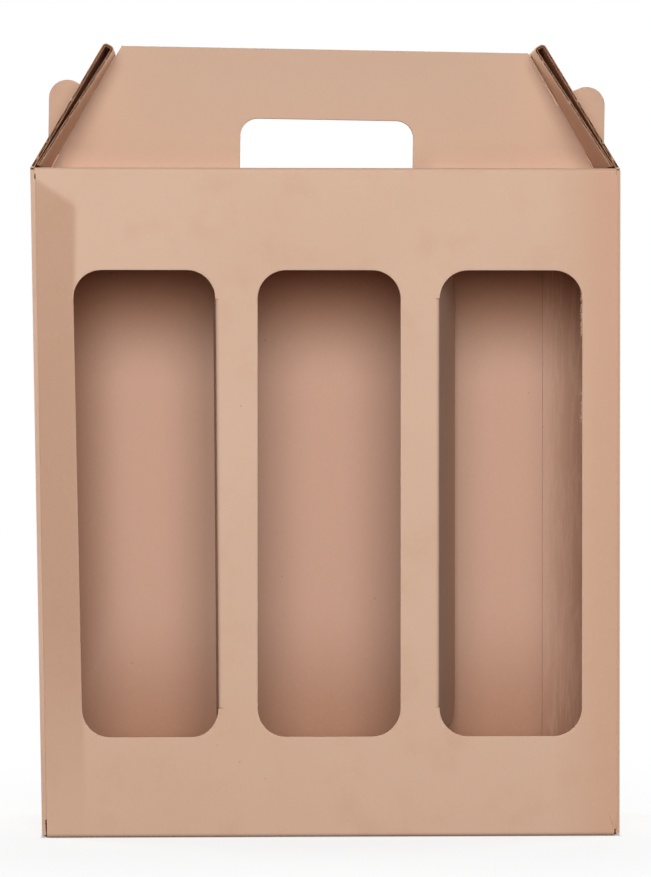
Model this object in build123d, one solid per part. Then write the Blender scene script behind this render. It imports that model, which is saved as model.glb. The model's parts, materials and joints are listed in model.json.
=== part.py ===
from build123d import *
from math import cos, hypot, radians, sin
import os

# A carrier for three bottles, cut from single-wall corrugated board and folded up.
# Two sheets are glued together at two corners. The front sheet is the front, the right wall
# and a glue lap inside the back. The back sheet is the back, the left wall and a glue lap
# inside the front. Each has a shoulder, one ply of the handle and two flaps of the base.
# A doubled flap swings on the top of each side wall, and the handle's ears go through it.
# X runs along the front to the right, Y from front to back and Z up. The origin is the
# middle of the base.

# Whole box, outside
box_width = 268.2
box_depth = 88.0
wall_height = 304.0

# Board, creases and clearances
board = 1.5
crease_inside = 0.5
crease_run = 1.0
lay_gap = 0.1
fit_gap = 0.6
overrun = 6.0

# Glue laps, and how far the glued wall's raw edge stops short of the corner
front_sheet_lap = 27.8
back_sheet_lap = 21.0
lap_chamfer = 12.5
lap_lift = 8.0
lap_drop = 5.0
joint_setback = 2.6

# Windows, and the cut-outs of the outer two, folded in as dividers. The windows, the hand hole
# and the ears lie a little to the right of the box's middle.
window_count = 3
front_shift = 1.4
window_margin = 18.9
window_strut = 17.7
window_sill = 45.6
window_head = 46.4
window_round = 13.0
window_relief = 1.5
cut_width = 0.3
left_fold = 89.0
right_fold = 80.0

# Shoulders, handle and ears. An ear's top slopes from its outer corner, whose rise is given
# before it is rounded, down to its tip beside the flap.
shoulder_gap = 1.2
handle_rise = 57.5
handle_tilt = 0.9
handle_root = 1.0
ear_inset = 4.7
ear_sill = 9.0
ear_rise = 47.0
ear_tip_rise = 39.0
ear_round = 8.5
ear_heel_round = 2.0
ear_tip_round = 1.6
ear_lip = 3.0
notch_round = 0.8
hole_width = 80.5
hole_sill = 1.8
hole_top = 25.0
hole_round = 8.0

# Doubled side flaps, as they lean over the shoulders
flap_lean = 29.2
flap_length = 67.6
ridge_width = 5.8
ridge_length = 41.0
foot_reach = 2.6
foot_gap = 2.2
hinge_gap = 0.15

# Snap-lock base: the front flap and its tongue, the side flaps and the notched back flap
heel = 4.0
side_climb = 9.0
side_reach = 60.0
side_tip_width = 32.0
base_corner = 10.0
front_short = 6.0
tongue_gap = 10.0
tongue_climb = 12.0
tongue_grip = 18.0
tongue_round = 10.0
back_climb = 16.0
notch_gap = 2.0
lobe_past = 10.0
lobe_round = 8.0

# Sizes that follow
side_x = box_width / 2
side_y = box_depth / 2
crease_outside = crease_inside + board
layer = board + lay_gap
wall_foot = crease_outside + crease_run
wall_head = wall_height - crease_outside - crease_run
lap_root = side_x - crease_outside
clear_width = box_width - 2 * window_margin - (window_count - 1) * window_strut
window_width = clear_width / window_count
window_pitch = window_width + window_strut
window_height = wall_height - window_sill - window_head
window_middle = window_sill + window_height / 2
flap_root = 2 * (side_y - layer - crease_outside - fit_gap)
foot_depth = 2 * board + foot_gap
handle_foot = crease_inside + handle_root
ear_x = side_x - ear_inset
tilt_shift = side_x * sin(radians(handle_tilt))
slot_width = 2 * board + lay_gap + 2 * fit_gap
left_side = 1
right_side = -1
rightwards = 1
leftwards = -1


# Section of a folded sheet. One face follows the points, and the board lies to its given side.
def folded(points, side):
    near = [Vector(*point) for point in points]
    ways = [(end - start).normalized() for start, end in zip(near, near[1:])]
    normals = [Vector(-way.Y, way.X) * side for way in ways]
    turns = [before.cross(after).Z * side for before, after in zip(ways, ways[1:])]
    mitres = [(a + b) * (board / (1 + a.dot(b))) for a, b in zip(normals, normals[1:])]
    shifts = [normals[0] * board, *mitres, normals[-1] * board]
    far = [point + shift for point, shift in zip(near, shifts)]
    near_radii = [crease_outside if turn > 0 else crease_inside for turn in turns]
    far_radii = [crease_inside if turn > 0 else crease_outside for turn in turns]
    radii = [0, *near_radii, 0, 0, *reversed(far_radii), 0]
    return make_face(FilletPolyline(*near, *reversed(far), radius=radii, close=True))


# Closed outline with a radius at each corner, as a face
def rounded(corners):
    points = [corner[:2] for corner in corners]
    radii = [corner[2] for corner in corners]
    return make_face(FilletPolyline(*points, radius=radii, close=True))


# Upright prism of a plan outline, tall enough for the base or the shoulders
def plan_prism(outline, low, high):
    return Pos(0, 0, low) * extrude(outline, high - low, dir=(0, 0, 1))


# Point on the right flap at rest: so far along it from its hinge line, and so deep inside it
def flap_point(along, depth):
    lean = radians(flap_lean)
    across = side_x - along * sin(lean) - depth * cos(lean)
    rise = along * cos(lean) - depth * sin(lean)
    return across, rise


# Depth of the inner ply's inside face, which closes in on the outer ply towards its foot
def ply_depth(along):
    share = (along - foot_reach) / (flap_length - foot_reach)
    return foot_depth + (ridge_width - foot_depth) * share


# Where a line through two points of the flap's section crosses a height
def crossing(start, end, rise):
    share = (rise - start[1]) / (end[1] - start[1])
    return start[0] + (end[0] - start[0]) * share


# Handle's edge that runs up inside the flap
def inside_edge(rise):
    foot = flap_point(foot_reach, foot_depth + fit_gap)
    ridge = flap_point(flap_length, ridge_width + fit_gap)
    return crossing(foot, ridge, rise)


# Ear's edge that runs up outside the flap
def outside_edge(rise):
    root = flap_point(0, -fit_gap)
    ridge = flap_point(flap_length, -fit_gap)
    return crossing(root, ridge, rise)


# How far up the flap the tip of an ear reaches
def ear_reach():
    return hypot(side_x - outside_edge(ear_tip_rise), ear_tip_rise)


# One wide wall, the side wall to its right and the lap beyond, between the creases. The side
# wall goes on up to the hinge line. The corners on each side of it go nearly as far, and nearly
# down to the base.
def standing_walls(lap_width):
    lap_edge = side_x - lap_width
    run = [
        (joint_setback - side_x, -side_y),
        (side_x, -side_y),
        (side_x, side_y - layer),
        (lap_edge, side_y - layer),
    ]
    section = folded(run, left_side)
    walls = plan_prism(section, wall_foot, wall_head)
    lap_top = wall_height - lap_drop
    lap = Polygon(
        (lap_root, lap_lift),
        (lap_root, lap_top),
        (lap_edge, lap_top - lap_chamfer),
        (lap_edge, lap_lift + lap_chamfer),
        align=None,
    )
    strip = Polygon(
        (lap_root, 0),
        (lap_root, wall_height),
        (lap_edge - overrun, wall_height),
        (lap_edge - overrun, 0),
        align=None,
    )
    waste = extrude(Plane.XZ * (strip - lap), overrun, both=True)
    walls -= Pos(0, side_y - layer, 0) * waste
    top = wall_height - hinge_gap
    head = Box(board, flap_root, top - wall_head)
    walls += Pos(side_x - board / 2, 0, (top + wall_head) / 2) * head
    corner_strip = Pos(side_x, 0) * Rectangle(2 * crease_outside, box_depth)
    corner_strip -= Pos(side_x, 0) * Rectangle(2 * crease_outside, flap_root + 2 * fit_gap)
    corners = section & corner_strip
    walls += plan_prism(corners, crease_run, wall_foot)
    return walls + plan_prism(corners, wall_head, wall_height - crease_run)


# Shoulder over the front half of the box, from the front wall's top crease to the handle
def front_shoulder():
    ply_face = board + lay_gap / 2
    run = [
        (-side_y, wall_head),
        (-side_y, wall_height),
        (-ply_face, wall_height),
        (-ply_face, wall_height + handle_foot),
    ]
    sheet = extrude(Plane.YZ * folded(run, right_side), side_x, both=True)
    corner_x = side_x - crease_outside - lay_gap
    edge_x = side_x - board - shoulder_gap
    root_x = inside_edge(handle_foot)
    crease_y = crease_outside - side_y
    root_y = -ply_face - crease_outside
    half = [(corner_x, -side_y - overrun), (corner_x, crease_y), (edge_x, crease_y)]
    half += [(edge_x, root_y), (root_x, root_y), (root_x, 0)]
    other_half = [(-x, y) for x, y in reversed(half)]
    outline = Polygon(*half, *other_half, align=None)
    return sheet & plan_prism(outline, 0, wall_height + handle_rise)


# Outline of the handle's right or left half: its ear, and the notch for the flap
def handle_half(way):
    notch_reach = ear_reach() - ear_lip
    notch_out_x, notch_out_rise = flap_point(notch_reach, -fit_gap)
    notch_in_x, notch_in_rise = flap_point(notch_reach, ply_depth(notch_reach) + fit_gap)
    edge_x = way * ear_x + front_shift
    return [
        (edge_x, -overrun, 0),
        (edge_x, ear_rise, ear_round),
        (way * outside_edge(ear_tip_rise), ear_tip_rise, ear_tip_round),
        (way * notch_out_x, notch_out_rise, notch_round),
        (way * notch_in_x, notch_in_rise, notch_round),
        (way * inside_edge(handle_rise), handle_rise, 0),
    ]


# Front ply of the handle, with its hand hole, and its ears outside the notches for the flaps.
# Its tilt leaves its root and the ears' sills level.
def handle_ply():
    handle = rounded(handle_half(rightwards) + handle_half(leftwards)[::-1])
    half_hole = hole_width / 2
    hole = [
        (front_shift - half_hole, hole_sill, 0),
        (front_shift + half_hole, hole_sill, 0),
        (front_shift + half_hole, hole_top, hole_round),
        (front_shift - half_hole, hole_top, hole_round),
    ]
    tilted = Rot(0, 0, -handle_tilt) * (handle - rounded(hole))
    level_half = [
        (inside_edge(handle_foot), handle_foot),
        (inside_edge(ear_sill), ear_sill),
        (side_x, ear_sill),
        (side_x, handle_rise + overrun),
    ]
    level_other_half = [(-x, rise) for x, rise in reversed(level_half)]
    outline = tilted & Polygon(*level_half, *level_other_half, align=None)
    heel_places = [(front_shift + way * ear_x, ear_sill) for way in (leftwards, rightwards)]
    heels = [outline.vertices().sort_by_distance(place)[0] for place in heel_places]
    outline = fillet(heels, ear_heel_round)
    ply = extrude(Plane.XZ * outline, board, dir=(0, -1, 0))
    return Pos(0, -lay_gap / 2, wall_height) * ply


# Front flap of the base, and the tongue that climbs through the back flap's notch
def front_base_flap():
    climb_start = -front_short
    grip_start = climb_start + tongue_climb
    tongue_end = grip_start + tongue_grip
    tongue_lift = 3 * layer
    run = [
        (-side_y, wall_foot),
        (-side_y, 0),
        (climb_start, 0),
        (grip_start, tongue_lift),
        (tongue_end, tongue_lift),
    ]
    sheet = extrude(Plane.YZ * folded(run, left_side), side_x, both=True)
    root_x = side_x - crease_outside - fit_gap
    root_y = crease_outside - side_y
    edge_x = side_x - heel - side_climb - fit_gap
    edge_y = climb_start - crease_outside
    tongue_x = side_x - side_reach - tongue_gap
    half = [
        (root_x, -side_y - overrun, 0),
        (root_x, root_y, 0),
        (edge_x, root_y + base_corner, 0),
        (edge_x, edge_y, 0),
        (tongue_x, edge_y, 0),
        (tongue_x, tongue_end, tongue_round),
    ]
    other_half = [(-x, y, radius) for x, y, radius in reversed(half)]
    return sheet & plan_prism(rounded(half + other_half), -overrun, wall_foot + overrun)


# Back flap of the base, whose two lobes reach past the middle on each side of the notch
def back_base_flap():
    level_y = side_y - heel - back_climb
    lobe_end = -lobe_past
    notch_y = tongue_climb + notch_gap - front_short
    run = [
        (side_y, wall_foot),
        (side_y, 0),
        (side_y - heel, 0),
        (level_y, 2 * layer),
        (lobe_end, 2 * layer),
    ]
    panel = extrude(Plane.YZ * folded(run, right_side), side_x, both=True)
    root_x = side_x - crease_outside - fit_gap
    notch_x = side_x - side_reach - tongue_gap + notch_gap
    half = [
        (notch_x, notch_y, notch_round),
        (notch_x, lobe_end, lobe_round),
        (root_x, lobe_end, lobe_round),
        (root_x, side_y + overrun, 0),
    ]
    other_half = [(-x, y, radius) for x, y, radius in reversed(half)]
    return panel & plan_prism(rounded(half + other_half), -overrun, wall_foot + overrun)


# Right flap of the base, between the front flap and the back flap
def right_base_flap():
    level_x = side_x - heel - side_climb
    tip_x = side_x - side_reach
    run = [
        (side_x, wall_foot),
        (side_x, 0),
        (side_x - heel, 0),
        (level_x, layer),
        (tip_x, layer),
    ]
    panel = extrude(Plane.XZ * folded(run, right_side), side_y, both=True)
    foot_x = side_x - board - crease_inside / 2
    beyond_x = side_x + overrun
    corner_y = flap_root / 2
    front_y = -corner_y
    back_y = side_y - heel - back_climb - fit_gap
    level_y = front_y + base_corner
    middle_y = (level_y + back_y) / 2
    outline = Polygon(
        (beyond_x, front_y),
        (side_x - crease_outside - fit_gap, front_y),
        (level_x, level_y),
        (tip_x, middle_y - side_tip_width / 2),
        (tip_x, middle_y + side_tip_width / 2),
        (level_x, back_y),
        (foot_x, back_y),
        (foot_x, corner_y),
        (beyond_x, corner_y),
        align=None,
    )
    return panel & plan_prism(outline, -overrun, wall_foot + overrun)


# Window outline with its middle on the given place, grown or shrunk all round
def window_face(middle_x, growth=0):
    width = window_width + 2 * growth
    height = window_height + 2 * growth
    return Pos(middle_x, window_middle) * RectangleRounded(width, height, window_round + growth)


# Window's cut-out, bent in about the crease along one of its edges. The crease's bend starts
# its radius before the edge, so that the bend's outermost line is the window's edge.
def divider(middle_x, hinge_side, fold):
    crease_x = middle_x + hinge_side * (window_width / 2 + crease_outside)
    crease_y = crease_outside - side_y
    axis = Axis((crease_x, crease_y, 0), (0, 0, -hinge_side))
    reach = window_width + crease_outside - cut_width
    height = window_height - 2 * cut_width
    flat = RectangleRounded(reach, height, window_round - cut_width)
    flat = Pos(crease_x - hinge_side * reach / 2, window_middle) * flat
    panel = Pos(0, -side_y, 0) * extrude(Plane.XZ * flat, board, dir=(0, 1, 0))
    edge = Plane.YZ * Pos(board / 2 - side_y, window_middle)
    edge_height = window_height - 2 * window_round
    bend = revolve(Pos(crease_x, 0, 0) * edge * Rectangle(board, edge_height), axis, fold)
    return panel.rotate(axis, fold) + bend


# Front sheet: windows cut through its wide wall, two of them with their cut-outs folded in
window_cuts = Sketch()
for place in range(window_count):
    window_x = front_shift + (place - (window_count - 1) / 2) * window_pitch
    window_cuts += window_face(window_x)
left_window_x = front_shift - (window_count - 1) / 2 * window_pitch
right_window_x = front_shift + (window_count - 1) / 2 * window_pitch
crease_strip = Rectangle(crease_outside, window_height - 2 * window_round)
strip_shift = (window_width + crease_outside) / 2
window_cuts += Pos(left_window_x + strip_shift, window_middle) * crease_strip
window_cuts += Pos(right_window_x - strip_shift, window_middle) * crease_strip
window_prism = Pos(0, -side_y, 0) * extrude(Plane.XZ * window_cuts, overrun, both=True)
shoulder = front_shoulder() + handle_ply()
base_right = right_base_flap()

front_sheet = standing_walls(front_sheet_lap) - window_prism
front_sheet += divider(left_window_x, rightwards, left_fold)
front_sheet += divider(right_window_x, leftwards, right_fold)
front_sheet += shoulder
front_sheet += front_base_flap()
front_sheet += base_right

# Back sheet: its lap is cut back beside the left window
relief = extrude(Plane.XZ * window_face(left_window_x, window_relief), overrun, both=True)
back_sheet = Rot(0, 0, 180) * standing_walls(back_sheet_lap)
back_sheet -= Pos(0, -side_y, 0) * relief
back_sheet += mirror(shoulder, about=Plane.XZ)
back_sheet += back_base_flap()
back_sheet += mirror(base_right, about=Plane.YZ)


# Right flap: an outer ply up from the hinge line, a flat ridge and an inner ply back down
def right_flap():
    run = [
        flap_point(0, 0),
        flap_point(flap_length, 0),
        flap_point(flap_length, ridge_width),
        flap_point(foot_reach, foot_depth),
    ]
    plies = extrude(Plane.XZ * folded(run, left_side), side_y, both=True)
    below = Pos(side_x, 0, -overrun) * Box(2 * overrun, box_depth, 2 * overrun)
    plies -= below
    lean = radians(flap_lean)
    face = Plane(origin=(side_x, 0, 0), x_dir=(0, 1, 0), z_dir=(cos(lean), 0, sin(lean)))
    taper = Polygon(
        (-flap_root / 2, 0),
        (flap_root / 2, 0),
        (ridge_length / 2, flap_length),
        (-ridge_length / 2, flap_length),
        align=None,
    )
    slot_start = ear_sill - fit_gap
    slot_end = ear_reach() + tilt_shift + fit_gap
    slot = Pos(0, (slot_start + slot_end) / 2) * Rectangle(slot_width, slot_end - slot_start)
    plies &= extrude(face * taper, ridge_width + overrun, both=True)
    plies -= extrude(face * slot, ridge_width + overrun, both=True)
    return Pos(0, 0, wall_height) * plies


right_side_flap = right_flap()
left_side_flap = mirror(right_side_flap, about=Plane.YZ)

os.makedirs("parts", exist_ok=True)
export_step(front_sheet, "parts/front_sheet.step")
export_step(back_sheet, "parts/back_sheet.step")
export_step(left_side_flap, "parts/left_side_flap.step")
export_step(right_side_flap, "parts/right_side_flap.step")
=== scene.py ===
import bmesh
import bpy
import json
import math
import random
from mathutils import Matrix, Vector
from mathutils.bvhtree import BVHTree


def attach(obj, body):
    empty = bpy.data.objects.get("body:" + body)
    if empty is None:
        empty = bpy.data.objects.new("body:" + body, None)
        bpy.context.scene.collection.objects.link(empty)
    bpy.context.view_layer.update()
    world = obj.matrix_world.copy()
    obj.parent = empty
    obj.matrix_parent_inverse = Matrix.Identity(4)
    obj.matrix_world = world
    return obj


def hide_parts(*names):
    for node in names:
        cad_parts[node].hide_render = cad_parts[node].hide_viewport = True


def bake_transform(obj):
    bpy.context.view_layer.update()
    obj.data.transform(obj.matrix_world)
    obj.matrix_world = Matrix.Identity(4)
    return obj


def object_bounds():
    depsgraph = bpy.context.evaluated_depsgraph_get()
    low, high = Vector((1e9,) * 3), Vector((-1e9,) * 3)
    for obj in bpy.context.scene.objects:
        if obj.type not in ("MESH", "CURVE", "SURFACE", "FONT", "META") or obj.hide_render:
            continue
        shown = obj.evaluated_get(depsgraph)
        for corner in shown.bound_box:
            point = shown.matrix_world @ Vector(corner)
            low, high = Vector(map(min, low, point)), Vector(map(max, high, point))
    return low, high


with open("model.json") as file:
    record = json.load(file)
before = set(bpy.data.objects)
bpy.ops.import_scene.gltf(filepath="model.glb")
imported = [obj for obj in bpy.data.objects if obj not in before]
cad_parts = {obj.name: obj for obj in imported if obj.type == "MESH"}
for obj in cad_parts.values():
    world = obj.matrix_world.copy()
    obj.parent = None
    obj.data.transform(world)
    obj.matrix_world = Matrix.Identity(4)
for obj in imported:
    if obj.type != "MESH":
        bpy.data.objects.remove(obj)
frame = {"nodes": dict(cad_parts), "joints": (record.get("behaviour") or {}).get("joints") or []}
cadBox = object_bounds()
mm = 0.001
print("frame loaded:", sorted(frame["nodes"]))

scene = bpy.context.scene
scene.view_settings.view_transform = "Standard"


# A shader socket, so that maths on it reads as Python
class Wire:
    def __init__(self, tree, socket=None):
        self.tree = tree
        self.socket = socket

    # any node: its settings first, then the values or links of its sockets
    def node(self, kind, settings=None, sockets=None, out=0):
        made = self.tree.nodes.new(kind)
        for key, value in (settings or {}).items():
            setattr(made, key, value)
        for key, value in (sockets or {}).items():
            if isinstance(value, Wire):
                self.tree.links.new(value.socket, made.inputs[key])
            else:
                made.inputs[key].default_value = value
        return Wire(self.tree, made.outputs[out])

    def maths(self, operation, *values):
        return self.node("ShaderNodeMath", {"operation": operation}, dict(enumerate(values)))

    def greater(self, other):
        return self.maths("MAXIMUM", self, other)

    def __add__(self, other):
        return self.maths("ADD", self, other)

    def __radd__(self, other):
        return self.maths("ADD", other, self)

    def __sub__(self, other):
        return self.maths("SUBTRACT", self, other)

    def __rsub__(self, other):
        return self.maths("SUBTRACT", other, self)

    def __mul__(self, other):
        return self.maths("MULTIPLY", self, other)

    def __rmul__(self, other):
        return self.maths("MULTIPLY", other, self)

    def __truediv__(self, other):
        return self.maths("DIVIDE", self, other)

    def __rtruediv__(self, other):
        return self.maths("DIVIDE", other, self)

    def __abs__(self):
        return self.maths("ABSOLUTE", self)

    # 0 below low, 1 above high, smooth between
    def step(self, low, high):
        settings = {"interpolation_type": "SMOOTHSTEP"}
        return self.node("ShaderNodeMapRange", settings, {0: self, 1: low, 2: high})

    def noise(self, place, scale, detail=2.0, rough=0.5):
        return self.node("ShaderNodeTexNoise", None, {
            "Vector": place, "Scale": scale, "Detail": detail, "Roughness": rough})

    def mix(self, share, first, second):
        return self.node("ShaderNodeMix", {"data_type": "RGBA"}, {0: share, 6: first, 7: second}, 2)

    def stretched(self, place, scale):
        return self.node("ShaderNodeVectorMath", {"operation": "MULTIPLY"}, {0: place, 1: scale})


def newMaterial(name):
    material = bpy.data.materials.new(name)
    material.use_nodes = True
    material.node_tree.nodes.clear()
    return material, Wire(material.node_tree)


def showSurface(material, shader):
    output = material.node_tree.nodes.new("ShaderNodeOutputMaterial")
    material.node_tree.links.new(shader.socket, output.inputs["Surface"])


# sRGB hex to the linear colour that a socket takes
def colour(code):
    shares = [int(code[i:i + 2], 16) / 255 for i in (1, 3, 5)]
    linear = [s / 12.92 if s <= 0.04045 else ((s + 0.055) / 1.055) ** 2.4 for s in shares]
    return (*linear, 1.0)


# Kraft board

kraft = {
    "outside": "#D4B098",
    "outsidePale": "#D9B69E",
    "outsidePink": "#CFA68D",
    "pinkShare": 0.4,
    "pinkRise": 130 * mm,         # the paper is a little pinker below this
    "inside": "#CDA58F",
    "insideShade": "#B2846A",
    "shadeLow": 28 * mm,           # painted shade: the paper inside is darker towards the base
    "shadeHigh": 105 * mm,
    "shadeNear": 100 * mm,         # and towards the side walls, more so on the left, also painted shade
    "shadeFar": 128 * mm,
    "shadeShift": -4 * mm,
    "shadeAside": 0.8,
    "insideTopShade": "#BC7A50",
    "topShadeLow": 216 * mm,           # and painted shade makes it browner under the shoulders
    "topShadeHigh": 261 * mm,
    "topShadeShare": 0.6,
    "wallFace": 43.3 * mm,        # anything farther out than this is a wide wall's face
    "lapTone": "#BA9078",
    "lapEdge": -113.1 * mm,       # inner edge of the lap that is glued behind the front
    "lapHead": 286.5 * mm,        # where the slanted top of that lap meets its inner edge
    "lapSlant": 0.66,
    "lapMiddle": 150 * mm,        # the lap shows most at this height
    "lapReach": 190 * mm,
    "lapFadeLow": -10 * mm,       # and fades towards the base
    "lapFadeHigh": 100 * mm,
    "innerLapEdge": 106.3 * mm,   # inner edge of the lap that is glued inside the back
    "innerLapFace": 38 * mm,
    "wrinkles": (260, 260, 20),
    "wrinkleDepth": 1.6,
    "cornerTone": "#CDA187",
    "cornerNear": 100 * mm,       # the front warms towards its right corner
    "cornerFar": 130 * mm,
    "cornerShare": 0.75,
    # painted shade: the handle and its ears are a little darker than the walls
    "handleShade": "#CBAA93",
    "earShade": "#BE9D88",
    "handleShadeShare": 0.8,
    "footShadeLow": 300 * mm,          # painted shade: the handle's board is a little darker towards its foot
    "footShadeHigh": 322 * mm,
    "earShadeNear": 98 * mm,           # and towards its ears, also painted shade
    "earShadeFar": 116 * mm,
    "fleck": "#8E6248",
    "paleFibre": "#E6C9B2",
    "fibresUp": (2600, 2600, 420),
    "fibresAcross": (430, 430, 2500),
    "bumpDepth": 0.25 * mm,
    "roughness": 0.86,
    "flutePitch": 3.3 * mm,
    "cutLiner": "#B58E74",
    "cutMedium": "#9A7358",
    # painted shade in the hollows between the liners and the medium
    "cutGapShade": "#4A2C1B",
    "cutDepth": 0.4 * mm,
    "cutRoughness": 0.92,
    "tornDark": "#C79F83",
    "tornPale": "#EBD6C2",
    "tornRoughness": 0.95,
}


def tone(name):
    return colour(kraft[name])


def boardAttribute(w, name, out=2):
    return w.node("ShaderNodeAttribute", {"attribute_name": name}, None, out)


def axes(w, place):
    split = w.node("ShaderNodeSeparateXYZ", None, {0: place}).socket.node
    return [Wire(w.tree, socket) for socket in split.outputs]


def kraftLiner():
    material, w = newMaterial("kraftLiner")
    place = boardAttribute(w, "boardPlace", 1)
    inside = boardAttribute(w, "across").step(0.4, 0.6)
    flute = boardAttribute(w, "fluteRun")
    x, y, z = axes(w, place)
    cloud = w.noise(place, 11, 3, 0.5)
    patch = w.noise(place, 60, 3, 0.6)
    fibreUp = w.noise(w.stretched(place, kraft["fibresUp"]), 1, 3, 0.6)
    fibreAcross = w.noise(w.stretched(place, kraft["fibresAcross"]), 1, 3, 0.6)
    grain = w.noise(place, 1500, 2, 0.6)

    # tone of the paper, outside and inside, with painted shade inside towards the base, the side
    # walls and under the shoulders
    base = w.mix(cloud.step(0.35, 0.68) * 0.7, tone("outside"), tone("outsidePale"))
    pink = kraft["pinkShare"] * (patch.step(0.48, 0.78) + 1 - z.step(0, kraft["pinkRise"]))
    base = w.mix(pink, base, tone("outsidePink"))
    # painted shade inside: darker towards the base and the side walls, and browner under the
    # shoulders
    low = 1 - z.step(kraft["shadeLow"], kraft["shadeHigh"])
    aside = abs(x + kraft["shadeShift"]).step(kraft["shadeNear"], kraft["shadeFar"])
    deep = low.greater(kraft["shadeAside"] * aside)
    inner = w.mix(deep, tone("inside"), tone("insideShade"))
    top = z.step(kraft["topShadeLow"], kraft["topShadeHigh"]) * kraft["topShadeShare"]
    inner = w.mix(top, inner, tone("insideTopShade"))
    base = w.mix(inside, base, inner)

    # the glued laps show through the front and through the back, with a soft edge
    soft = 1.2 * mm + 1.6 * mm * patch
    front = (0 - y).step(kraft["wallFace"], kraft["wallFace"] + 0.2 * mm)
    back = y.step(kraft["wallFace"], kraft["wallFace"] + 0.2 * mm)
    slant = kraft["lapHead"] + kraft["lapSlant"] * (kraft["lapEdge"] - x)
    behindFront = (kraft["lapEdge"] - x).step(0 - soft, soft) * (slant - z).step(0 - soft, soft)
    behindBack = (x - kraft["innerLapEdge"]).step(0 - soft, soft)
    far = abs(z - kraft["lapMiddle"]) / kraft["lapReach"]
    pressed = 0.1 + 0.9 * z.step(kraft["lapFadeLow"], kraft["lapFadeHigh"])
    pressed = (1 - 0.45 * far * far) * pressed
    lap = (front * behindFront + back * behindBack) * (1 - inside) * pressed
    base = w.mix(lap * (0.6 + 0.35 * cloud), base, tone("lapTone"))

    # the right corner, and painted shade on the handle, more towards its ears and its foot
    corner = x.step(kraft["cornerNear"], kraft["cornerFar"]) * front * (1 - inside)
    base = w.mix(corner * kraft["cornerShare"], base, tone("cornerTone"))
    handle = boardAttribute(w, "handle") * kraft["handleShadeShare"]
    base = w.mix(handle, base, tone("handleShade"))
    ear = abs(x).step(kraft["earShadeNear"], kraft["earShadeFar"])
    foot = 1 - z.step(kraft["footShadeLow"], kraft["footShadeHigh"])
    base = w.mix(handle * ear.greater(foot), base, tone("earShade"))

    # fibres, and here and there a dark speck
    pale = fibreUp.step(0.56, 0.76) + fibreAcross.step(0.58, 0.78)
    base = w.mix(pale * 0.12, base, tone("paleFibre"))
    dark = (1 - fibreUp).step(0.58, 0.78) + (1 - fibreAcross).step(0.58, 0.78)
    base = w.mix(dark * 0.08, base, tone("fleck"))
    spot = w.node("ShaderNodeTexVoronoi", {"feature": "F1"}, {"Vector": place, "Scale": 120})
    rare = w.noise(place, 37, 0)
    speck = (1 - spot.step(0.03, 0.07)) * rare.step(0.68, 0.72)
    base = w.mix(speck * 0.4, base, tone("fleck"))

    # relief: grain, the faintest flute lines, and wrinkles in the lap inside the back
    turn = flute * (2 * math.pi / kraft["flutePitch"])
    ridge = turn.maths("SINE", turn)
    height = 0.35 * grain + 0.35 * fibreUp + 0.3 * fibreAcross + 0.06 * ridge + 0.3 * patch
    creased = w.noise(w.stretched(place, kraft["wrinkles"]), 1, 3, 0.6)
    wrinkle = 1 - abs(creased - 0.5).step(0.0, 0.08)
    onLap = (x - kraft["innerLapEdge"]).step(0, 3 * mm) * inside
    onLap = onLap * y.step(kraft["innerLapFace"], kraft["innerLapFace"] + 2 * mm)
    height = height + kraft["wrinkleDepth"] * wrinkle * onLap
    base = w.mix(wrinkle * onLap * 0.22, base, tone("outsidePale"))
    bump = w.node("ShaderNodeBump", None, {
        "Strength": 0.2, "Distance": kraft["bumpDepth"], "Height": height})
    rough = kraft["roughness"] + 0.1 * (grain - 0.5)
    shader = w.node("ShaderNodeBsdfPrincipled", None, {
        "Base Color": base, "Roughness": rough, "Normal": bump, "Specular IOR Level": 0.22})
    showSurface(material, shader)
    return material


# A cut edge shows the two liners and the wavy medium between them, with painted shade in the
# hollows
def kraftCut():
    material, w = newMaterial("kraftCut")
    place = boardAttribute(w, "boardPlace", 1)
    across = boardAttribute(w, "across")
    flute = boardAttribute(w, "fluteRun")
    ragged = w.noise(place, 900, 2, 0.6)
    turn = flute * (2 * math.pi / kraft["flutePitch"]) + 1.6 * w.noise(place, 130, 1)
    wave = 0.5 + 0.3 * turn.maths("SINE", turn)
    medium = 1 - abs(across - wave).step(0.10, 0.20)
    liner = abs(across - 0.5).step(0.33, 0.38)
    base = w.mix(medium, tone("cutGapShade"), tone("cutMedium"))
    base = w.mix(liner, base, tone("cutLiner"))
    base = w.mix(ragged.step(0.45, 0.75) * 0.45, base, tone("cutMedium"))
    height = liner.greater(medium) + 0.4 * ragged
    bump = w.node("ShaderNodeBump", None, {
        "Strength": 0.6, "Distance": kraft["cutDepth"], "Height": height})
    shader = w.node("ShaderNodeBsdfPrincipled", None, {
        "Base Color": base, "Roughness": kraft["cutRoughness"], "Normal": bump,
        "Specular IOR Level": 0.1})
    showSurface(material, shader)
    return material


def tornFibre():
    material, w = newMaterial("tornFibre")
    place = w.node("ShaderNodeTexCoord", None, None, 3)
    base = w.mix(w.noise(place, 1400, 1), tone("tornDark"), tone("tornPale"))
    shader = w.node("ShaderNodeBsdfPrincipled", None, {
        "Base Color": base, "Roughness": kraft["tornRoughness"], "Specular IOR Level": 0.1})
    showSurface(material, shader)
    return material


linerMaterial = kraftLiner()
cutMaterial = kraftCut()
fibreMaterial = tornFibre()
print("materials made")


# Sheets: each CAD node cut into a finer grid, with its liners told from its cut edges

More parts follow.
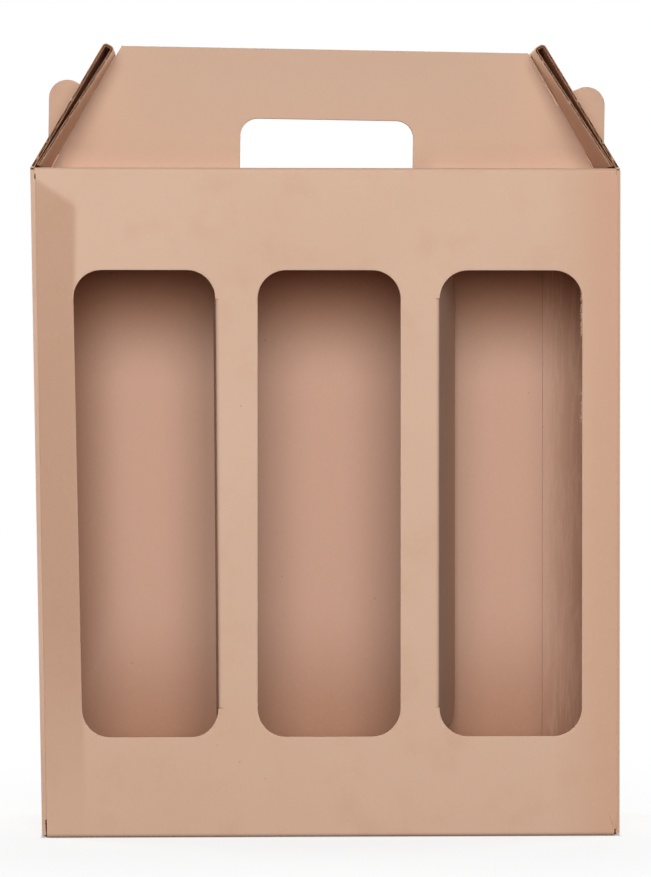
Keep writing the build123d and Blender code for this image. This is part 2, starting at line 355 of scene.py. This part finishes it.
carton = {
    "board": 1.5 * mm,
    "sheetGrid": 12 * mm,
    "flapGrid": 4 * mm,
    "edgeBand": 0.7 * mm,         # width of the band that the cutting rule crushed
    "edgeCrush": 0.28 * mm,       # how far each liner sinks there
    "hingeBand": 0.4 * mm,        # the flaps' creases and the box's corners are not cut,
    "cornerBand": 3.4 * mm,       # so nothing sinks this near them
    "leanAtFoot": 5.0 * mm,       # how far the left wall is drawn in at its foot
    "leanEnds": -48.8 * mm,       # the left window's right edge, where the lean dies out
    "windowSkew": 1.5 * mm,       # how far the left window's top stands off to the left
    "windowLow": 45 * mm,
    "windowHigh": 257 * mm,
    "skewStarts": 20 * mm,        # how far in from the left wall that shift is whole
    "skewEnds": 15 * mm,          # and how far past the left window it dies out
    "sharpEdge": math.radians(33),
}

flap = {
    "lean": math.radians(29.2),
    "length": 67.6 * mm,
    "rootHalf": 39.8 * mm,
    "ridgeHalf": 20.5 * mm,
    "slotHalf": 4 * mm,
    "pliesPart": 2.6 * mm,        # depth between the outer and the inner ply
    "footDrawnIn": 2.0 * mm,      # how far the inner ply's corners close on the outer ply
}

hinge = Vector(frame["joints"][0]["pos_m"])
sideX, wallTop = abs(hinge.x), hinge.z


def clamp(value):
    return min(max(value, 0), 1)


def smooth(value):
    t = clamp(value)
    return t * t * (3 - 2 * t)


# A face whose far side is one board's thickness away is a liner, and any other is a cut edge
def tellLiners(work, surface):
    widest = {}
    for corners in work.calc_loop_triangles():
        a, b, c = (loop.vert.co for loop in corners)
        area = (b - a).cross(c - a).length
        if area > widest.get(corners[0].face, (0,))[0]:
            widest[corners[0].face] = (area, (a + b + c) / 3)
    for face, (area, middle) in widest.items():
        depth = surface.ray_cast(middle - face.normal * 1e-6, -face.normal, 4 * carton["board"])[3]
        isLiner = depth is not None and 0.7 < depth / carton["board"] < 1.35
        face.material_index = 0 if isLiner else 1


def linersOf(work):
    return [face for face in work.faces if face.material_index == 0]


def notCut(place):
    bySide = abs(place.x) > sideX - carton["cornerBand"]
    byHinge = abs(place.z - wallTop) < carton["hingeBand"]
    return bySide and (byHinge or abs(place.y) > flap["rootHalf"])


# The cutting rule crushes the board along each cut
def crushEdges(work):
    bmesh.ops.inset_region(
        work, faces=linersOf(work), thickness=carton["edgeBand"],
        use_even_offset=False, use_boundary=True)
    moves = []
    for vertex in work.verts:
        liners = [face for face in vertex.link_faces if face.material_index == 0]
        if 0 < len(liners) < len(vertex.link_faces) and not notCut(vertex.co):
            inwards = -sum((face.normal for face in liners), Vector()).normalized()
            moves.append((vertex, inwards * carton["edgeCrush"]))
    for vertex, move in moves:
        vertex.co += move


def gridCut(work, step):
    for axis in range(3):
        low = min(v.co[axis] for v in work.verts)
        high = max(v.co[axis] for v in work.verts)
        normal = Vector((axis == 0, axis == 1, axis == 2))
        count = int((high - low) / step)
        for i in range(1, count + 1):
            bmesh.ops.bisect_plane(
                work, geom=work.verts[:] + work.edges[:] + work.faces[:], dist=1e-7,
                plane_co=normal * (low + (high - low) * i / (count + 1)), plane_no=normal)


# Lays each vertex that is not on a cut back on the board's own surface
def settle(work, surface):
    for vertex in work.verts:
        if all(face.material_index == 0 for face in vertex.link_faces):
            vertex.co = surface.find_nearest(vertex.co)[0]


# Marks each vertex 0 on the outer liner and 1 on the inner one, by spreading over smooth joins
def markAcross(work, outwards):
    layer = work.verts.layers.float.new("across")
    work.normal_update()
    left = set(linersOf(work))
    groups = []
    while left:
        group = [left.pop()]
        for face in group:
            for edge in face.edges:
                if edge.calc_face_angle(0) < carton["sharpEdge"]:
                    found = left.intersection(edge.link_faces)
                    left -= found
                    group.extend(found)
        groups.append(group)
    for group in sorted(groups, key=len):
        score = sum(f.calc_area() * f.normal.dot(outwards(f.calc_center_median())) for f in group)
        for face in group:
            for vertex in face.verts:
                vertex[layer] = 0.0 if score > 0 else 1.0


def leaned(place):
    low = clamp(1 - place.z / wallTop)
    share = clamp((carton["leanEnds"] - place.x) / (carton["leanEnds"] + sideX))
    return place + Vector((carton["leanAtFoot"] * low * share, 0, 0))


# The front leans in the same way, and its left window slants a little more than its wall
def leanedFront(place):
    rise = (place.z - carton["windowLow"]) / (carton["windowHigh"] - carton["windowLow"])
    rise = clamp(rise) * clamp((wallTop - place.z) / (wallTop - carton["windowHigh"]))
    past = (place.x - carton["leanEnds"]) / carton["skewEnds"]
    near = clamp((place.x + sideX) / carton["skewStarts"]) * clamp(1 - past)
    return leaned(place) - Vector((carton["windowSkew"] * rise * near, 0, 0))


# A place on a flap at rest: so far along it from its hinge, so deep inside it, and at this y
def flapPlace(way, along, depth, y):
    out = along * math.sin(flap["lean"]) + depth * math.cos(flap["lean"])
    up = along * math.cos(flap["lean"]) - depth * math.sin(flap["lean"])
    return Vector((way * (sideX - out), y, wallTop + up))


def flapHalf(along):
    return flap["rootHalf"] + (flap["ridgeHalf"] - flap["rootHalf"]) * along / flap["length"]


def drawnIn(along, y):
    aside = smooth((abs(y) - flap["slotHalf"]) / (flapHalf(along) - flap["slotHalf"]))
    return flap["footDrawnIn"] * clamp(1 - along / flap["length"]) * aside


# The inner ply bows, so that its free corners close on the outer ply
def bowed(place):
    way = 1 if place.x > 0 else -1
    out, up = sideX - way * place.x, place.z - wallTop
    along = out * math.sin(flap["lean"]) + up * math.cos(flap["lean"])
    depth = out * math.cos(flap["lean"]) - up * math.sin(flap["lean"])
    if depth < flap["pliesPart"]:
        return place
    return flapPlace(way, along, depth - drawnIn(along, place.y), place.y)


def newPiece(name, mesh, body):
    piece = bpy.data.objects.new(name, mesh)
    scene.collection.objects.link(piece)
    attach(piece, body)
    return piece


def sheetFrom(node, body, step, fluteAxis, outwards, bent):
    work = bmesh.new()
    work.from_mesh(frame["nodes"][node].data)
    bmesh.ops.remove_doubles(work, verts=work.verts[:], dist=2e-6)
    bmesh.ops.dissolve_limit(
        work, angle_limit=math.radians(0.3), verts=work.verts[:], edges=work.edges[:])
    surface = BVHTree.FromBMesh(work)
    tellLiners(work, surface)
    crushEdges(work)
    gridCut(work, step)
    settle(work, surface)
    bmesh.ops.triangulate(work, faces=[f for f in work.faces if len(f.verts) > 4])
    markAcross(work, outwards)
    placeLayer = work.verts.layers.float_vector.new("boardPlace")
    fluteLayer = work.verts.layers.float.new("fluteRun")
    handleLayer = work.verts.layers.float.new("handle")
    for vertex in work.verts:
        vertex[placeLayer] = vertex.co
        vertex[fluteLayer] = vertex.co.dot(fluteAxis)
        vertex[handleLayer] = float(body == "box" and vertex.co.z > wallTop + mm)
    for vertex in work.verts:
        vertex.co = bent(vertex.co)
    work.normal_update()
    for face in work.faces:
        face.smooth = True
    for edge in work.edges:
        edge.smooth = edge.calc_face_angle(0) < carton["sharpEdge"]
    mesh = bpy.data.meshes.new(node + "Board")
    work.to_mesh(mesh)
    work.free()
    mesh.materials.append(linerMaterial)
    mesh.materials.append(cutMaterial)
    piece = newPiece(node + "Board", mesh, body)
    weighted = piece.modifiers.new("flatFaces", "WEIGHTED_NORMAL")
    weighted.keep_sharp = True
    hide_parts(node)
    cutFaces = sum(polygon.material_index for polygon in mesh.polygons)
    print(piece.name, "faces", len(mesh.polygons), "cut faces", cutFaces)


def fromMiddle(point):
    return Vector((point.x / cadBox[1].x, point.y / cadBox[1].y, 2 * point.z / wallTop - 1))


def upwards(point):
    return Vector((0, 0, 1))


roundTheBox = Vector((1, 1, 0))
acrossTheFlap = Vector((0, 1, 0))
for node, bent in (("front_sheet", leanedFront), ("back_sheet", leaned)):
    sheetFrom(node, "box", carton["sheetGrid"], roundTheBox, fromMiddle, bent)
for side in ("left", "right"):
    sheetFrom(
        side + "_side_flap", side + "_flap", carton["flapGrid"], acrossTheFlap, upwards, bowed)


# Bend of the board at each flap's crease, which fills the hinge gap

crease = {
    "inset": 0.06 * mm,
    "reach": 1.1 * mm,
    "rings": 14,
    "bendHalf": 0.45 * mm,
}


def makeCrease(way, side):
    rows = []
    for i in range(crease["rings"] + 1):
        along = crease["reach"] * (2 * i / crease["rings"] - 1)
        row = []
        for depth in (crease["inset"], carton["board"] - crease["inset"]):
            for end in (-1, 1):
                y = end * (flap["rootHalf"] - crease["inset"])
                if along > 0:
                    row.append(flapPlace(way, along, depth, y))
                else:
                    row.append(Vector((way * (sideX - depth), y, wallTop + along)))
        rows.append([row[0], row[1], row[3], row[2]])
    faces = [(0, 1, 2, 3), tuple(4 * crease["rings"] + k for k in (3, 2, 1, 0))]
    for i in range(crease["rings"]):
        for k in range(4):
            near, after = 4 * i + k, 4 * i + (k + 1) % 4
            faces.append((near, near + 4, after + 4, after))
    work = bmesh.new()
    corners = [work.verts.new(place) for row in rows for place in row]
    for face in faces:
        work.faces.new([corners[k] for k in face]).smooth = True
    bmesh.ops.recalc_face_normals(work, faces=work.faces[:])
    placeLayer = work.verts.layers.float_vector.new("boardPlace")
    for vertex in work.verts:
        vertex[placeLayer] = vertex.co
    mesh = bpy.data.meshes.new(side + "Crease")
    work.to_mesh(mesh)
    work.free()
    mesh.materials.append(linerMaterial)
    bend = bpy.data.objects.new(side + "Crease", mesh)
    scene.collection.objects.link(bend)
    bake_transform(bend)


makeCrease(-1, "left")
makeCrease(1, "right")
print("creases made")


# Torn fibres: along the roughly cut edge of the right window, and on the flaps' inner plies

fuzz = {
    "seed": 7,
    "hairs": 80,
    "edgeX": 116.55 * mm,
    "frontY": -43.7 * mm,
    "backY": -42.8 * mm,
    "ranges": ((228 * mm, 248 * mm), (186 * mm, 204 * mm)),
    "longest": 1.3 * mm,
    "thickness": 0.26 * mm,
    "flapFlecks": 16,
    "flapLow": 6 * mm,
    "flapHigh": 62 * mm,
    "plyDepth": 3.7 * mm,         # depth of the inner ply at its foot, and what it gains upwards
    "plyGain": 0.6 * mm,
    "sunk": 0.1 * mm,
}


def addHair(work, start, way, length, droop):
    side = way.orthogonal().normalized() * fuzz["thickness"] / 2
    other = way.cross(side)
    rings = []
    for t in (0, 0.45, 0.8):
        middle = start + way * length * t + droop * t * t
        rings.append([work.verts.new(middle + (side * c + other * s) * (1 - 0.7 * t))
                      for c, s in ((1, 0), (-0.5, 0.87), (-0.5, -0.87))])
    tip = work.verts.new(start + way * length + droop)
    work.faces.new(rings[0][::-1])
    for low, high in zip(rings, rings[1:]):
        for k in range(3):
            work.faces.new((low[k], low[(k + 1) % 3], high[(k + 1) % 3], high[k]))
    for k in range(3):
        work.faces.new((rings[2][k], rings[2][(k + 1) % 3], tip))


def finishHairs(work, name, body):
    mesh = bpy.data.meshes.new(name)
    work.to_mesh(mesh)
    work.free()
    mesh.materials.append(fibreMaterial)
    newPiece(name, mesh, body)


def windowFuzz(chance):
    work = bmesh.new()
    for i in range(fuzz["hairs"]):
        low, high = fuzz["ranges"][0 if chance.random() < 0.75 else 1]
        y = chance.uniform(fuzz["frontY"], fuzz["backY"])
        start = Vector((fuzz["edgeX"], y, chance.uniform(low, high)))
        way = Vector((-1, chance.uniform(-0.2, 0.3), chance.uniform(-0.9, 0.9))).normalized()
        length = fuzz["longest"] * chance.uniform(0.35, 1)
        droop = Vector((0, 0, chance.uniform(-0.5, 0.3) * length))
        addHair(work, start, way, length, droop)
    finishHairs(work, "windowFuzz", "box")


def flapFlecks(way, side, chance):
    work = bmesh.new()
    for i in range(fuzz["flapFlecks"]):
        along = chance.uniform(fuzz["flapLow"], fuzz["flapHigh"])
        y = -flapHalf(along)
        ply = fuzz["plyDepth"] + fuzz["plyGain"] * along / flap["length"]
        depth = ply + chance.uniform(0.2, 1.3) * mm - drawnIn(along, y)
        start = flapPlace(way, along, depth, y + fuzz["sunk"])
        run = flapPlace(way, along + mm, ply, y) - flapPlace(way, along, ply, y)
        turn = Vector((chance.uniform(-0.6, 0.6), -0.5, chance.uniform(-0.4, 0.4)))
        length = fuzz["longest"] * chance.uniform(0.4, 0.9)
        addHair(work, start, (run / mm + turn).normalized(), length, Vector())
    finishHairs(work, side + "FlapFlecks", side + "_flap")


chance = random.Random(fuzz["seed"])
windowFuzz(chance)
flapFlecks(-1, "left", chance)
flapFlecks(1, "right", chance)
print("torn fibres made")


# Floor, light and camera

stage = {
    "floorSize": 2.0,
    "floorPale": (0.9, 0.9, 0.9, 1),
    "floorGrain": (0.82, 0.82, 0.82, 1),
    "floorBounce": (0.15, 0.15, 0.15, 1),
    "shadowReach": 0.36,
    "shadowShare": 0.18,
    "ambient": 0.04,
    "key": {"power": 38.0, "place": (-0.03, -1.93, 0.70), "size": 1.2},
    "left": {"power": 40.0, "place": (-2.0, 0.9, 0.9), "size": 1.2},
    "right": {"power": 40.0, "place": (2.0, 0.9, 0.9), "size": 1.2},
    "back": {"power": 20.0, "place": (0.2, 2.1, 1.2), "size": 1.4},
}


def seenShare(w):
    ray = w.node("ShaderNodeLightPath")
    camera = Wire(w.tree, ray.socket.node.outputs["Is Camera Ray"])
    glossy = Wire(w.tree, ray.socket.node.outputs["Is Glossy Ray"])
    through = Wire(w.tree, ray.socket.node.outputs["Is Transmission Ray"])
    return camera.greater(glossy).greater(through)


# The lens sees a pale floor that fades to white, with nothing white under the box itself, and the
# box gets only a little light back from it
def makeFloor():
    material, w = newMaterial("paleFloor")
    place = w.node("ShaderNodeTexCoord", None, None, 3)
    reach = w.node("ShaderNodeVectorMath", {"operation": "LENGTH"}, {0: place}, 1)
    near = 1 - (reach / stage["shadowReach"]).step(0.35, 1.0)
    seen = seenShare(w)
    pale = w.mix(w.noise(place, 900, 1) * 0.1, stage["floorPale"], stage["floorGrain"])
    floorTone = w.mix(seen, stage["floorBounce"], pale)
    matt = w.node("ShaderNodeBsdfDiffuse", None, {"Color": floorTone})
    white = w.node("ShaderNodeEmission", None, {"Strength": 1.0})
    x, y, z = axes(w, place)
    shift = carton["leanAtFoot"] / 2
    beside = abs(x - shift).step(cadBox[1].x - shift, cadBox[1].x - shift + mm)
    beside = beside.greater(abs(y).step(cadBox[1].y, 1.03 * cadBox[1].y))
    share = seen * beside * (1 - stage["shadowShare"] * near)
    showSurface(material, w.node("ShaderNodeMixShader", None, {0: share, 1: matt, 2: white}))
    half = stage["floorSize"] / 2
    mesh = bpy.data.meshes.new("floor")
    corners = [(-half, -half, 0), (half, -half, 0), (half, half, 0), (-half, half, 0)]
    mesh.from_pydata(corners, [], [(0, 1, 2, 3)])
    mesh.materials.append(material)
    floor = bpy.data.objects.new("floor", mesh)
    scene.collection.objects.link(floor)


def makeWorld():
    world = bpy.data.worlds.new("studio")
    scene.world = world
    world.use_nodes = True
    world.node_tree.nodes.clear()
    w = Wire(world.node_tree)
    soft = w.node("ShaderNodeBackground", None, {"Strength": stage["ambient"]})
    white = w.node("ShaderNodeBackground", None, {"Strength": 1.0})
    for shade in (soft, white):
        shade.socket.node.inputs["Color"].default_value = (1, 1, 1, 1)
    mixed = w.node("ShaderNodeMixShader", None, {0: seenShare(w), 1: soft, 2: white})
    output = world.node_tree.nodes.new("ShaderNodeOutputWorld")
    world.node_tree.links.new(mixed.socket, output.inputs["Surface"])


def softbox(name, target):
    values = stage[name]
    light = bpy.data.lights.new(name, "AREA")
    light.energy = values["power"]
    light.shape = "DISK"
    light.size = values["size"]
    lamp = bpy.data.objects.new(name, light)
    lamp.location = values["place"]
    lamp.rotation_mode = "QUATERNION"
    lamp.rotation_quaternion = (target - lamp.location).to_track_quat("-Z", "Y")
    scene.collection.objects.link(lamp)


makeFloor()
makeWorld()
for name in ("key", "left", "right", "back"):
    softbox(name, (cadBox[0] + cadBox[1]) / 2)
print("stage set")

shot = {
    "place": (-46.94 * mm, -1628.0 * mm, 207.5 * mm),
    "yaw": 1.688,
    "pitch": -0.951,
    "focalPixels": 3491.3,
    "imageHeight": 877,
    "sensor": 36.0,
}


def makeCamera():
    data = bpy.data.cameras.new("camera")
    data.sensor_fit = "AUTO"
    data.sensor_width = shot["sensor"]
    data.lens = shot["focalPixels"] / shot["imageHeight"] * shot["sensor"]
    data.clip_end = 50
    camera = bpy.data.objects.new("camera", data)
    camera.location = shot["place"]
    camera.rotation_euler = (math.radians(90 + shot["pitch"]), 0, math.radians(-shot["yaw"]))
    scene.collection.objects.link(camera)
    scene.camera = camera


makeCamera()
print("camera set")
